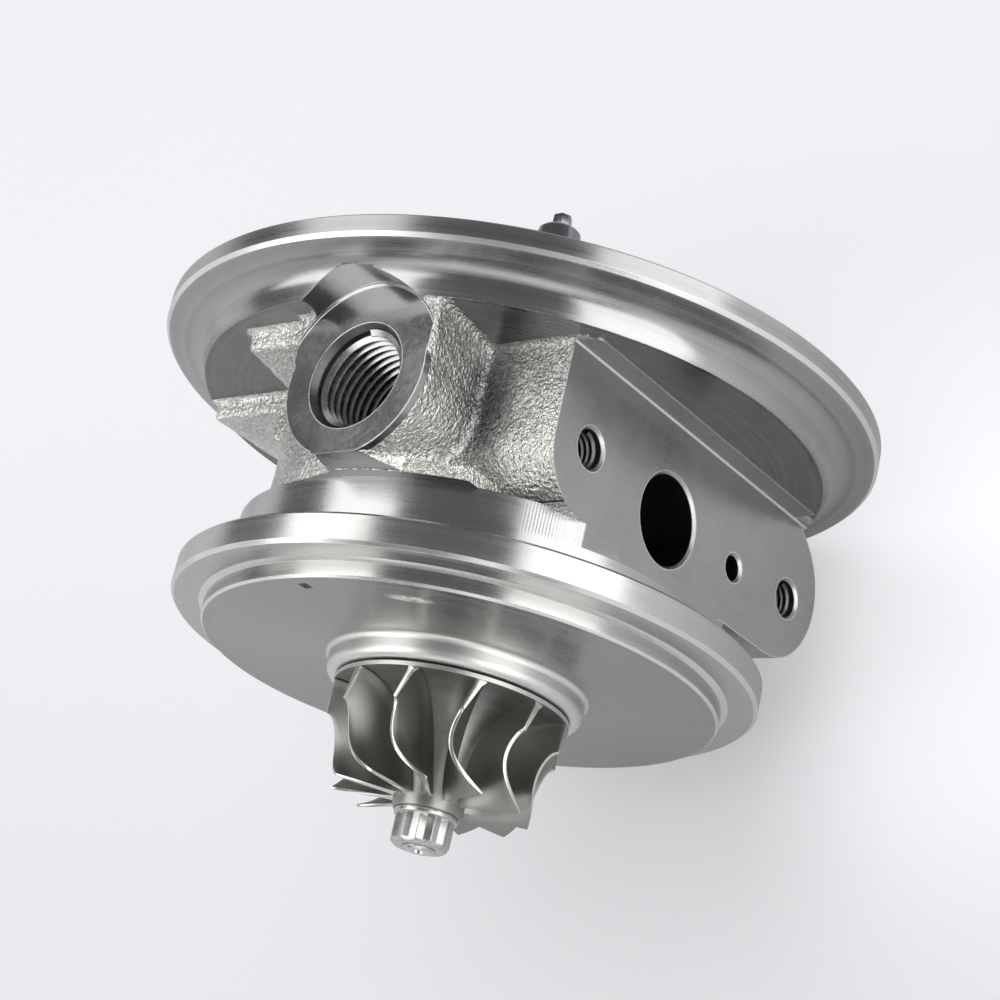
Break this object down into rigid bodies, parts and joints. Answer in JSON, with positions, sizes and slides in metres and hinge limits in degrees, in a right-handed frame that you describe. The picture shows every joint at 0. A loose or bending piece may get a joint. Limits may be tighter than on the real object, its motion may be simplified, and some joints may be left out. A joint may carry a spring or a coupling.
{
  "type": "turbocharger cartridge",
  "caption": "Turbocharger centre cartridge: cast bearing housing with a large round flange, back plate, and a spinning shaft with bladed compressor and turbine wheels.",
  "frame": {"origin": "on the shaft line, in the turbine-side face of the big flange", "axes": "+X along the shaft towards the turbine wheel, +Z the way the oil inlet opens, -Y the way the drain pad faces"},
  "size_m": [0.1152, 0.12, 0.12],
  "materials": {
    "housing": "cast grey metal with turned and milled faces",
    "plate": "turned satin",
    "seal_rubber": "matte",
    "steel": "ground",
    "shield": "pressed sheet",
    "hot_alloy": "as cast",
    "bearing_metal": "turned",
    "wheel": "milled satin",
    "nut": "polished"
  },
  "bodies": {
    "housing": {"bearing_housing": "housing", "compressor_back_plate": "plate", "back_plate_o_ring": "seal_rubber", "back_plate_pin": "steel", "heat_shield": "shield", "turbine_piston_ring": "steel", "compressor_piston_ring": "steel", "turbine_outer_circlip": "steel", "turbine_inner_circlip": "steel", "compressor_circlip": "steel", "thrust_bearing": "bearing_metal", "thrust_bearing_screws": "steel", "oil_deflector": "steel"},
    "rotor": {"rotor_shaft": "steel", "turbine_wheel": "hot_alloy", "thrust_collar": "steel", "seal_sleeve": "steel", "compressor_wheel": "wheel", "compressor_nut": "nut"},
    "turbine_bearing": {"turbine_journal_bearing": "bearing_metal"},
    "compressor_bearing": {"compressor_journal_bearing": "bearing_metal"}
  },
  "joints": [
    {"name": "rotor_spin", "type": "hinge", "parent": "housing", "child": "rotor", "pos_m": [0, 0, 0], "axis": [1, 0, 0], "continuous": true},
    {"name": "turbine_bearing_spin", "type": "hinge", "parent": "housing", "child": "turbine_bearing", "pos_m": [-0.0109, 0, 0], "axis": [1, 0, 0], "continuous": true},
    {"name": "compressor_bearing_spin", "type": "hinge", "parent": "housing", "child": "compressor_bearing", "pos_m": [-0.02905, 0, 0], "axis": [1, 0, 0], "continuous": true}
  ]
}
